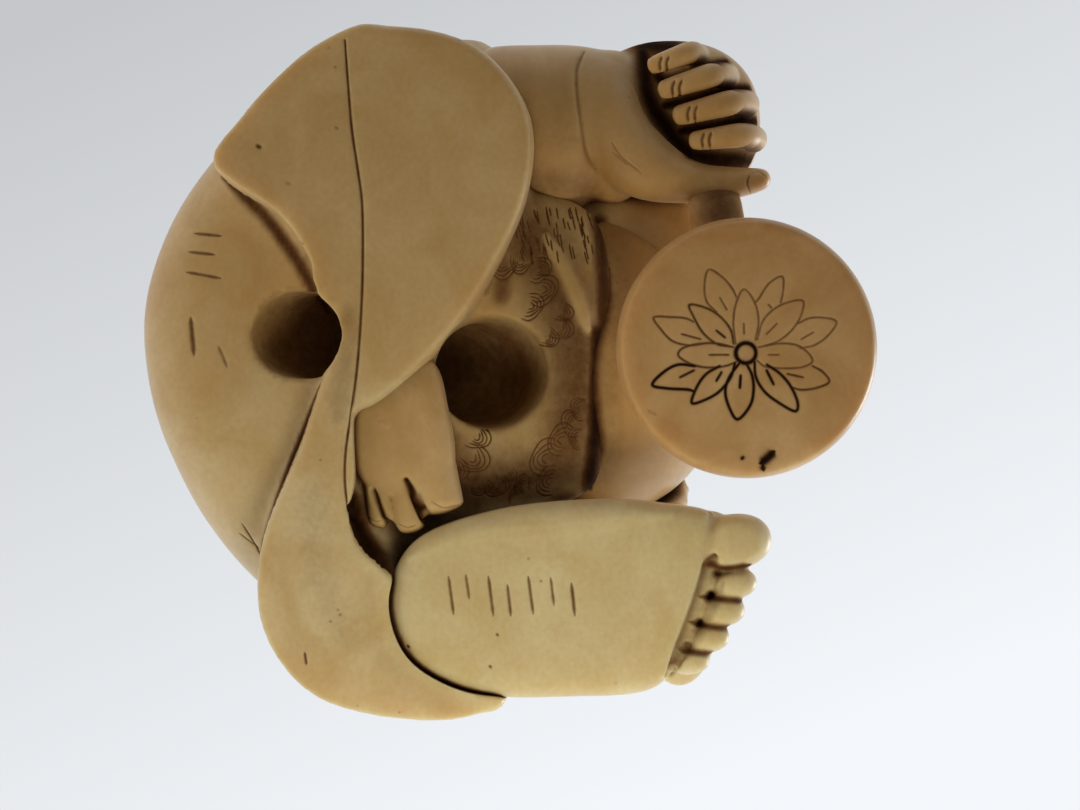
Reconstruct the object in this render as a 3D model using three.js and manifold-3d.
// A netsuke carved in one piece: a plump seated man in an open robe, one leg folded under him and one knee
// raised, holding a round fan flat on the ground. Two cord holes under the seat meet inside the body.
// Millimetres. +X is the figure's left, -Y its front, +Z up, and the ground is at zero.
import * as THREE from "three";
import { mergeVertices } from "three/addons/utils/BufferGeometryUtils.js";
import Module from "manifold-3d";

const wasm = await Module();
wasm.setup();

// Driving dimensions.
const seat = { lift: 1.7, wide: 8.6, top: 19 };
const head = { x: 0, y: -1, z: 31.4, wide: 7.7, deep: 8.1, tall: 8.3 };
const belly = { x: -1, y: -2, z: 13.6, wide: 10.6, deep: 11.2, tall: 9.6 };
const fan = { x: -1.3, y: -13.4, radius: 7.6, thick: 2.6, rim: 1.1 };
const sole = { thick: 4.2, inner: 7.5, outer: 19, heel: 7.5, ball: -10.8 };
const fist = { z: 9.2 };
const cordHole = { radius: 2.6, mouth: [2.6, 3.4], top: 8.8, back: [-2.05, 13.1], front: [0.1, 1.4] };
const groundDepth = 5;
const finest = 0.11;

// ---- how the forms are made ----

// Turns a sphere's vertices into a closed form. place(u, v, point) gives the point for the share u round it
// and the share v from its first end to its last, where the whole ring has to meet in one point.
function closedForm(around, along, place) {
  const geometry = new THREE.SphereGeometry(1, around, along);
  const { position, uv } = geometry.attributes;
  const point = new THREE.Vector3();
  for (let i = 0; i < position.count; i++) {
    place(uv.getX(i), 1 - uv.getY(i), point);
    position.setXYZ(i, point.x, point.y, point.z);
  }
  return toSolid(geometry);
}

function toSolid(geometry) {
  geometry.deleteAttribute("normal");
  geometry.deleteAttribute("uv");
  const merged = mergeVertices(geometry, 1e-3);
  const triVerts = new Uint32Array(merged.index.array);
  const vertProperties = merged.attributes.position.array;
  if (signedVolume(vertProperties, triVerts) < 0) {
    for (let i = 0; i < triVerts.length; i += 3) {
      [triVerts[i + 1], triVerts[i + 2]] = [triVerts[i + 2], triVerts[i + 1]];
    }
  }
  return new wasm.Manifold(new wasm.Mesh({ numProp: 3, vertProperties, triVerts }));
}

function signedVolume(coordinates, corners) {
  const [a, b, c] = [new THREE.Vector3(), new THREE.Vector3(), new THREE.Vector3()];
  let total = 0;
  for (let i = 0; i < corners.length; i += 3) {
    a.fromArray(coordinates, corners[i] * 3);
    b.fromArray(coordinates, corners[i + 1] * 3);
    c.fromArray(coordinates, corners[i + 2] * 3);
    total += a.dot(b.cross(c));
  }
  return total;
}

// Signed power, which makes a circle boxy when the power is under one.
const boxy = (value, power) => Math.sign(value) * Math.abs(value) ** power;

// A ball or egg: half sizes along x, y and z, square makes it boxier, and turn is in degrees.
function egg({ at, size, square = 2, turn = [0, 0, 0], around = 16, along = 10 }) {
  const power = 2 / square;
  const [tx, ty, tz] = turn.map(THREE.MathUtils.degToRad);
  const rotation = new THREE.Euler(tx, ty, tz);
  return closedForm(around, along, (u, v, point) => {
    const ring = boxy(Math.sin(Math.PI * v), power);
    point.set(
      size[0] * ring * boxy(Math.cos(2 * Math.PI * u), power),
      size[1] * ring * boxy(Math.sin(2 * Math.PI * u), power),
      size[2] * boxy(-Math.cos(Math.PI * v), power),
    );
    point.applyEuler(rotation).add(new THREE.Vector3(...at));
  });
}

// A cushion over a plan outline: it is widest at the height wide, and round towards low and high.
function cushion({
  outline, low, wide, high, square = 3, dome = square, lean = [0, 0], around = 32, along = 10,
}) {
  const corners = outline.map(([x, y]) => new THREE.Vector3(x, y, 0));
  const edge = new THREE.CatmullRomCurve3(corners, true, "centripetal");
  const middle = corners.reduce((sum, p) => sum.add(p), new THREE.Vector3()).divideScalar(corners.length);
  return closedForm(around, along, (u, v, point) => {
    const angle = Math.PI * (v - 0.5);
    const power = 2 / (angle < 0 ? square : dome);
    const rise = boxy(Math.sin(angle), power) * (angle < 0 ? wide - low : high - wide);
    edge.getPoint(u, point).sub(middle).multiplyScalar(boxy(Math.cos(angle), power)).add(middle);
    point.x += lean[0] * rise;
    point.y += lean[1] * rise;
    point.z = wide + rise;
  });
}

// A limb along stations of x, y, z, half width and half depth. The width is measured along side.
function limb(stations, { side = [1, 0, 0], caps = [0.12, 0.12], fold, around = 14, along = 14 } = {}) {
  const path = new THREE.CatmullRomCurve3(stations.map(([x, y, z]) => new THREE.Vector3(x, y, z)));
  const girth = new THREE.CatmullRomCurve3(
    stations.map(([, , , wide, deep = wide]) => new THREE.Vector3(wide, deep, 0)),
  );
  const endRows = 0.2;
  return closedForm(around, along, (u, v, point) => {
    const end = Math.min(1, Math.min(v, 1 - v) / endRows) * (Math.PI / 2);
    let share = (v - endRows) / (1 - 2 * endRows);
    share = caps[0] + share * (1 - caps[0] - caps[1]);
    if (v < endRows) share = caps[0] * (1 - Math.cos(end));
    if (v > 1 - endRows) share = 1 - caps[1] * (1 - Math.cos(end));
    const forward = path.getTangent(share);
    const across = new THREE.Vector3(...side);
    across.addScaledVector(forward, -across.dot(forward)).normalize();
    const upward = new THREE.Vector3().crossVectors(forward, across);
    const size = girth.getPoint(share).multiplyScalar(Math.sin(end));
    const angle = 2 * Math.PI * u;
    if (fold) size.multiplyScalar(1 + fold(angle, share));
    path.getPoint(share, point);
    point.addScaledVector(across, size.x * Math.cos(angle));
    point.addScaledVector(upward, size.y * Math.sin(angle));
  });
}

const join = (parts) => parts.reduce((whole, part) => whole.add(part));

// ---- the robe ----

// The seat of the robe is the broad back field under the figure, a little clear of the ground.
const seatOfRobe = () => cushion({
  outline: [
    [-12.3, 18.3], [-8.9, 20.7], [-4.2, 22.2], [0.2, 22.1], [4.6, 20.9], [9.6, 18.2], [13.4, 14.8], [17.4, 9],
    [17, 4.4], [8, 4.6], [-2, 5.2], [-10, 5], [-17.6, 6], [-17, 12],
  ],
  low: seat.lift, wide: seat.wide, high: seat.top, square: 2.7, dome: 2.1, lean: [0, -0.12],
  around: 36, along: 12,
});

function back() {
  const folds = (angle, share) => 0.02 * Math.sin(7 * angle) * Math.sin(Math.PI * share);
  return limb(
    [
      [0, 9.5, 4, 13, 9], [0, 8.6, 10, 15, 11.4], [0, 7.6, 17, 14.6, 11], [0, 6.8, 22.8, 12.4, 8.4],
      [0, 5.6, 28, 5.6, 5],
    ],
    { caps: [0.1, 0.06], fold: folds, around: 32, along: 14 },
  );
}

// The folded shin and knee under the robe, flat on the ground.
const kneeLobe = () => cushion({
  outline: [
    [-19.4, 9.9], [-19.9, 6.6], [-18.6, 2.1], [-14.8, -0.8], [-10.4, -0.7], [-5.2, 1.6], [-0.8, 4.8],
    [2.4, 9.2], [-6, 9.2], [-13, 9.5],
  ],
  low: -0.6, wide: 1.9, high: 9.5, square: 3.4, dome: 2.3, lean: [0.12, 0], around: 34, along: 10,
});

// The skirt's hem comes round under the seat as one band, narrow in the middle.
const hemUnderThigh = () => cushion({
  outline: [
    [-12, 17.9], [-16.4, 14.3], [-19.1, 10.8], [-20, 8], [-17, 5], [-8, 5.4], [-0.5, 8.9], [0.5, 10.2],
    [-1.6, 10.4], [-5.3, 11.4], [-8.5, 13.3],
  ],
  low: -0.6, wide: 2, high: 9, square: 3.4, dome: 2.3, lean: [0.15, -0.15], around: 30, along: 8,
});

const hemWaist = () => cushion({
  outline: [[-6, 8.6], [-1, 9.2], [3, 9.4], [8, 9.8], [8, 13], [4, 11.9], [0.5, 10.7], [-3, 10.7], [-6, 11.8]],
  low: -0.6, wide: 1.4, high: 5, square: 4, around: 20, along: 6,
});

const hemUnderHip = () => cushion({
  outline: [
    [-2.5, 10], [1.5, 9.5], [6, 9.9], [10, 9.1], [14, 7.7], [17.3, 5.9], [19, 3], [20, 4.6],
    [18.7, 11.4], [14.9, 14.5], [10, 14.7], [4, 12.4],
  ],
  low: -0.6, wide: 2.2, high: 12, square: 3.2, dome: 2.2, lean: [-0.28, -0.16], around: 34, along: 10,
});

const foldedThigh = () => limb(
  [[-7.6, 11, 9, 8.8], [-11.8, 5.5, 8, 8], [-14, 1.6, 6.8, 6.2]],
  { side: [0, 0, 1], caps: [0.3, 0.4], around: 18, along: 10 },
);

// The patterned skirt between the legs, in front of the seat.
const skirt = () => cushion({
  outline: [
    [-11, 1], [-9.4, -4.4], [-5, -5.6], [0.5, -4.8], [6.8, -4.6], [8.2, 0], [7.5, 5], [0, 7], [-7, 6],
  ],
  low: 3.1, wide: 5.4, high: 12, square: 2.8, around: 24, along: 8,
});

// The robe's front edge lies in the lap and ends in a rounded corner.
const lapFold = () => cushion({
  outline: [[-11.3, -2], [-10.9, -6], [-10.5, -10], [-9.9, -10.7], [-6, -11.6], [-2, -9], [-3, -2]],
  low: 7.1, wide: 8.3, high: 10.6, square: 4, around: 20, along: 6,
});

function raisedLeg() {
  const folds = (angle, share) => 0.03 * Math.sin(5 * angle + 9 * share);
  const thigh = limb(
    [[8, 9, 10.5, 8], [11, 3, 13, 7.4], [13, -2.4, 14.8, 6.1], [13.2, -4.4, 15, 5.8]],
    { caps: [0.3, 0.3], around: 18, along: 10 },
  );
  const shin = limb(
    [[13.2, -3, 16.8, 5.4], [13.3, -2.6, 11, 5.6], [13.5, -0.4, 5.6, 5.6], [13.5, 0.4, 3.4, 5.6]],
    { caps: [0.25, 0.06], around: 18, along: 10, fold: folds },
  );
  return join([thigh, shin]);
}

// The robe's two fronts lie over the sides of the belly, and open in a long V.
function robeFronts() {
  const over = egg({
    at: [belly.x, belly.y, belly.z], size: [belly.wide + 1, belly.deep + 0.4, belly.tall + 1.4],
    square: 2.3, around: 24, along: 14,
  });
  const opening = new THREE.Shape([
    [-9.6, 0], [9.4, 0], [8.4, 12], [7, 19], [4.4, 28], [-4.4, 28], [-7.6, 19], [-9.4, 12],
  ].map(([x, z]) => new THREE.Vector2(x, z)));
  const wedge = new THREE.ExtrudeGeometry(opening, { depth: 30, bevelEnabled: false });
  wedge.rotateX(Math.PI / 2);
  return over.subtract(toSolid(wedge)).subtract(egg({
    at: [belly.x, belly.y, belly.z - 8], size: [30, 30, 6.4], around: 12, along: 6,
  }));
}

// One band runs up the left front, round the neck and down the right front.
function collar() {
  const onBelly = (sign, x, z) => {
    const ring = boxy(1 - Math.abs((z - belly.z) / (belly.tall + 1)) ** 2.3, 1 / 2.3);
    const aside = Math.min(0.98, Math.abs(x - belly.x) / ((belly.wide + 0.9) * ring));
    const y = belly.y - (belly.deep + 0.4) * ring * boxy(1 - aside ** 2.3, 1 / 2.3);
    return [x, y, z, 1.25, 0.6];
  };
  return limb(
    [
      onBelly(-1, -9.3, 11.6), onBelly(-1, -8.8, 15), onBelly(-1, -7.7, 18.6), [-6.4, -5.2, 22.4, 1.3, 0.7],
      [-5.8, -1.6, 25.6, 1.5, 0.8], [-4.9, 3.4, 28, 1.6, 0.9], [0, 6.8, 29, 1.7, 0.9],
      [4.9, 3.4, 28, 1.6, 0.9], [5.6, -1.6, 25.6, 1.5, 0.8], [5.9, -5, 22.4, 1.3, 0.7],
      onBelly(1, 7.1, 18.6), onBelly(1, 8.2, 15), onBelly(1, 8.6, 11.6),
    ],
    { side: [0, 0.4, 1], caps: [0.02, 0.02], around: 8, along: 34 },
  );
}

const sleeveFolds = (angle, share) => 0.03 * Math.sin(4 * angle + 12 * share);

const sleeve = (side, stations) => limb(
  stations, { side, caps: [0.2, 0.1], around: 16, along: 9, fold: sleeveFolds },
);

const upperArm = [0, 1, 0];
const lowerArm = [1, 0, 0];

const sleeves = () => join([
  sleeve(upperArm, [
    [-8.4, 6.6, 24, 4.4], [-12.6, 6.4, 20.4, 5.4], [-14.6, 7, 15.4, 5.6], [-14.6, 7.4, 12, 5.6],
  ]),
  sleeve(lowerArm, [
    [-14.5, 8.4, 12.6, 4.8], [-14.5, 5.4, 11, 5.8], [-14.4, 2.4, 9.6, 5.8], [-14.4, 1.6, 9.2, 5.6],
  ]),
  sleeve(upperArm, [[8.4, 6.6, 24, 4.4], [12.8, 6.2, 20.8, 5.4], [15, 4.6, 17.6, 5.2], [15.3, 3.6, 16.8, 5]]),
  sleeve(lowerArm, [[15, 6.4, 17.4, 4.4], [15.2, 2.2, 17.8, 5.2], [14.8, -1.6, 19, 4.9], [14.6, -3, 19.6, 4.7]]),
]);

// ---- the body ----

function trunk() {
  const paunch = egg({
    at: [belly.x, belly.y, belly.z], size: [belly.wide, belly.deep, belly.tall], square: 2.3,
    around: 24, along: 14,
  });
  const chest = egg({ at: [0, 0.2, 20.6], size: [8.2, 6.8, 6.2], around: 16, along: 8 });
  const neck = limb([[0, 2.4, 23, 5.4], [0, 0.8, 28.6, 4.6]]);
  return join([paunch, chest, neck]);
}

// A lid closed over a smiling eye, and the brow above it.
const eyelid = (x, y, z, s) => limb(
  [
    [x + s * 1.5, y - 7.6, z + 0.1, 0.4], [x + s * 3, y - 7.3, z + 0.7, 0.7],
    [x + s * 4.7, y - 6.3, z + 0.1, 0.4],
  ],
  { side: [0, 0, 1], caps: [0.1, 0.1], around: 8, along: 8 },
);

const brow = (x, y, z, s) => limb(
  [
    [x + s * 1.2, y - 7.8, z + 2.1, 0.4], [x + s * 3.2, y - 7.2, z + 3.1, 0.5],
    [x + s * 5.4, y - 5.6, z + 2.3, 0.4],
  ],
  { side: [0, 0, 1], caps: [0.1, 0.1], around: 8, along: 8 },
);

function headForms() {
  const { x, y, z } = head;
  const forms = [
    egg({ at: [x, y, z], size: [head.wide, head.deep, head.tall], square: 2.15, around: 26, along: 16 }),
    egg({ at: [x, y - 4.6, z - 4.6], size: [4.4, 3.6, 3], around: 14, along: 8 }),
    limb(
      [[x, y - 7.7, z + 1.2, 0.7], [x, y - 8.5, z - 0.6, 1], [x, y - 8.6, z - 1.4, 1.3]],
      { caps: [0.3, 0.3], around: 10, along: 10 },
    ),
  ];
  for (const s of [-1, 1]) {
    forms.push(
      egg({ at: [x + s * 3.6, y - 4.8, z - 2.6], size: [3.4, 3.1, 3], around: 12, along: 8 }),
      eyelid(x, y, z, s),
      brow(x, y, z, s),
      egg({ at: [x + s * 1.1, y - 8.2, z - 1.6], size: [0.8, 0.8, 0.65], around: 8, along: 6 }),
      limb(
        [
          [x + s * 7.3, y + 0.2, z + 1.8, 1.5, 0.8], [x + s * 8.1, y + 0.6, z, 1.9, 0.9],
          [x + s * 7.6, y, z - 2.8, 1.2, 1], [x + s * 7.2, y - 0.3, z - 5.2, 1.2, 1],
        ],
        { side: [0, 1, 0], caps: [0.18, 0.18], around: 10, along: 12 },
      ),
    );
  }
  forms.push(limb(
    [
      [x - 2, y - 7.3, z - 3.5, 0.35], [x, y - 8.1, z - 4.1, 0.55], [x + 2, y - 7.3, z - 3.5, 0.35],
    ],
    { side: [0, 0, 1], around: 8, along: 10 },
  ));
  return join(forms);
}

// The fist that holds the fan: the palm's heel and the thumb go round the hollow, and four fingers curl
// back into it.
function rightArm() {
  const forearm = limb(
    [
      [-14.8, 3.6, 8.8, 4.9, 4.9], [-14.8, -0.6, 7.8, 4.9, 5], [-14.4, -3.4, 7.3, 4.7, 5.3],
      [-13.6, -6.2, 6.9, 4, 4.7],
    ],
    { side: [0, 0, 1], caps: [0.2, 0.26], around: 16, along: 10 },
  );
  const back = egg({
    at: [-15.3, -9.5, fist.z], size: [5.1, 5.3, 3.3], square: 2.3, around: 16, along: 10,
  });
  const wrist = egg({ at: [-14.8, -6.4, 7.4], size: [4.7, 3, 4], square: 2.3, around: 14, along: 8 });
  const heel = limb(
    [
      [-18.5, -6, 6.9, 2.2, 1.5], [-15.2, -6.2, 5.3, 2.6, 1.95], [-12.6, -7.3, 4.9, 2.4, 2.15],
      [-11.2, -10.4, 4.5, 1.6, 1.3], [-11.2, -13.2, 4.4, 1.2, 0.95], [-11.5, -15.2, 4.4, 0.9, 0.62],
    ],
    { side: [0, 0, 1], caps: [0.1, 0.05], around: 12, along: 14 },
  );
  const fingers = [
    { knuckle: [-19, -11.1], tip: [-17.9, -8], thick: 0.62 },
    { knuckle: [-17.7, -12.5], tip: [-16.4, -8.6], thick: 0.68 },
    { knuckle: [-16.1, -13.8], tip: [-15, -9.6], thick: 0.7 },
    { knuckle: [-13.9, -14.2], tip: [-13.6, -10.4], thick: 0.66 },
  ].map(({ knuckle: [kx, ky], tip: [tx, ty], thick }) => limb(
    [
      [kx * 0.95, ky + 3, fist.z + 1.6, thick * 1.3], [kx, ky + 0.5, fist.z - 0.4, thick * 1.35],
      [kx * 0.99, ky + 0.5, fist.z - 3.4, thick * 1.3],
      [kx * 0.6 + tx * 0.4, ky * 0.6 + ty * 0.4, 3.7, thick * 1.05], [tx, ty, 3.9, thick * 0.9],
    ],
    { caps: [0.06, 0.05], around: 8, along: 12 },
  ));
  return join([forearm, wrist, back, heel, ...fingers]);
}

function fanForms() {
  const { radius, thick, rim } = fan;
  const profile = new THREE.Path();
  profile.moveTo(0, -0.3);
  profile.lineTo(radius - rim, -0.3);
  profile.absellipse(radius - rim, thick / 2, rim, thick / 2 + 0.3, -Math.PI / 2, Math.PI / 2, false);
  profile.lineTo(0, thick);
  const disc = new THREE.LatheGeometry(profile.getPoints(4), 40);
  disc.rotateX(Math.PI / 2).translate(fan.x, fan.y, 0);
  const handle = limb(
    [
      [-6.2, -12, 1.7, 1.7, 0.9], [-9.2, -11.8, 3.1, 1.6, 0.85], [-11, -11.7, 4.6, 1.5, 0.9],
      [-15, -11.2, 7.4, 1.4, 1],
    ],
    { side: [0, 1, 0], caps: [0.05, 0.05], around: 12, along: 10 },
  );
  return join([toSolid(disc), handle]);
}

function leftFoot() {
  const plantar = cushion({
    outline: [
      [13.2, 7.5], [10, 6], [8.2, 1.5], [7.5, -4.9], [7.7, -8.4], [8.6, -11.8], [12, -11.5], [16, -9.9],
      [18.4, -8.2], [19, -3.2], [18.7, 2.8], [16.6, 6.4],
    ],
    low: -0.5, wide: 1.7, high: sole.thick + 1, square: 3, around: 32, along: 8,
  });
  const instep = limb(
    [[13.2, 2.8, 4, 4.3], [13.2, -2.5, 4, 4], [12.8, -8, 2.8, 3.6, 2.2]],
    { caps: [0.25, 0.15], around: 16, along: 12 },
  );
  const toes = [
    [10.1, -12.5, 1.75, 2.4, 1.9], [12.5, -12.3, 1.15, 2, 1.6], [14.1, -11.6, 1.15, 2, 1.5],
    [15.6, -10.8, 1.1, 1.9, 1.4], [16.9, -9.8, 1, 1.7, 1.3],
  ].map(([x, y, wide, long, tall]) => egg({
    at: [x, y, 1.7], size: [wide, long, tall], square: 2.3, turn: [0, 0, -8], around: 10, along: 6,
  }));
  return join([plantar, instep, ...toes]);
}

// The folded foot comes out of the hem with its instep down, so that the nails face the ground.
function rightFoot() {
  const instep = cushion({
    outline: [[-0.6, 9], [-0.6, 5], [2.2, 4], [5.6, 3.6], [7.4, 4.2], [7.8, 6], [7.4, 8], [5.4, 9.6]],
    low: 0.7, wide: 2.1, high: 6.5, square: 3, around: 22,
  });
  const toes = [
    [4.6, 5.3, 9.2, 4.3, 1.35], [5, 7.1, 9.9, 6.4, 0.95], [5, 8.5, 9.4, 8, 0.8],
  ].map(([x, y, tipX, tipY, thick]) => limb(
    [[x, y, 2.2, thick], [tipX, tipY, 1.9, thick]],
    { side: [0, 1, 0], caps: [0.3, 0.14], around: 10, along: 8 },
  ));
  return join([instep, ...toes]);
}

function leftHand() {
  const wrist = limb(
    [[14.8, -2.4, 19.6, 3], [13.6, -5.2, 20.6, 2.8], [12.9, -7, 20.6, 3, 2]],
    { caps: [0.2, 0.2], around: 14, along: 10 },
  );
  const fingers = [0, 1, 2, 3].map((i) => limb(
    [
      [11 + 1.5 * i, -7, 20.4, 0.85], [10.8 + 1.55 * i, -9.4, 19.4, 0.85],
      [10.9 + 1.5 * i, -10.4, 16.8, 0.75],
    ],
    { caps: [0.15, 0.15], around: 8, along: 8 },
  ));
  const thumb = limb(
    [[11.6, -5.6, 20, 1], [9.4, -7.4, 19, 0.95], [8.6, -9.2, 18, 0.8]],
    { caps: [0.15, 0.15], around: 8, along: 8 },
  );
  return join([wrist, ...fingers, thumb]);
}

// ---- what is cut away ----

function cordTunnel() {
  const { radius, mouth, top, back: [backX, backY], front: [frontX, frontY] } = cordHole;
  return limb(
    [
      [backX, backY + 0.3, -2.6, mouth[0], mouth[0] + 0.3], [backX, backY - 0.1, 0, mouth[0], mouth[0] + 0.3],
      [backX, backY - 0.9, 2.6, mouth[0] - 0.05, mouth[0] + 0.25], [backX * 0.8, backY - 3.6, 6.2, radius],
      [backX / 2, (backY + frontY) / 2 - 0.4, top, radius], [frontX, frontY + 1.1, 6.4, radius + 0.4],
      [frontX, frontY, 2.6, mouth[1]], [frontX, frontY - 0.2, -2.6, mouth[1]],
    ],
    { caps: [0.02, 0.02], around: 20, along: 16 },
  );
}

const ground = () => {
  const block = new THREE.BoxGeometry(80, 80, groundDepth).translate(0, 0, -groundDepth / 2);
  return toSolid(block);
};

function carve() {
  const clothed = join([
    seatOfRobe(), back(), kneeLobe(), hemUnderThigh(), hemWaist(), hemUnderHip(), foldedThigh(), skirt(),
    lapFold(), raisedLeg(), robeFronts(), collar(), sleeves(),
  ]);
  const bare = join([trunk(), headForms(), rightArm(), leftFoot(), rightFoot(), leftHand()]);
  const whole = clothed.add(bare).add(fanForms()).subtract(cordTunnel()).subtract(ground());
  return whole.asOriginal().simplify(finest).decompose()
    .reduce((best, body) => (body.volume() > best.volume() ? body : best));
}

function toGeometry(solid) {
  const { numProp, numVert, vertProperties, triVerts } = solid.getMesh();
  const coordinates = new Float32Array(numVert * 3);
  for (let i = 0; i < numVert; i++) {
    coordinates.set(vertProperties.subarray(i * numProp, i * numProp + 3), i * 3);
  }
  const geometry = new THREE.BufferGeometry();
  geometry.setAttribute("position", new THREE.BufferAttribute(coordinates, 3));
  geometry.setIndex(new THREE.BufferAttribute(triVerts, 1));
  return geometry;
}

const ivory = new THREE.MeshStandardMaterial({ color: 0xd9c193, roughness: 0.4, metalness: 0 });
const figure = new THREE.Mesh(toGeometry(carve()), ivory);
figure.name = "seated_figure";

// The origin is the middle of the footprint.
figure.geometry.computeBoundingBox();
const footprint = figure.geometry.boundingBox.getCenter(new THREE.Vector3());
figure.position.set(-footprint.x, -footprint.y, 0);

const netsuke = new THREE.Group();
netsuke.add(figure);

export default netsuke;
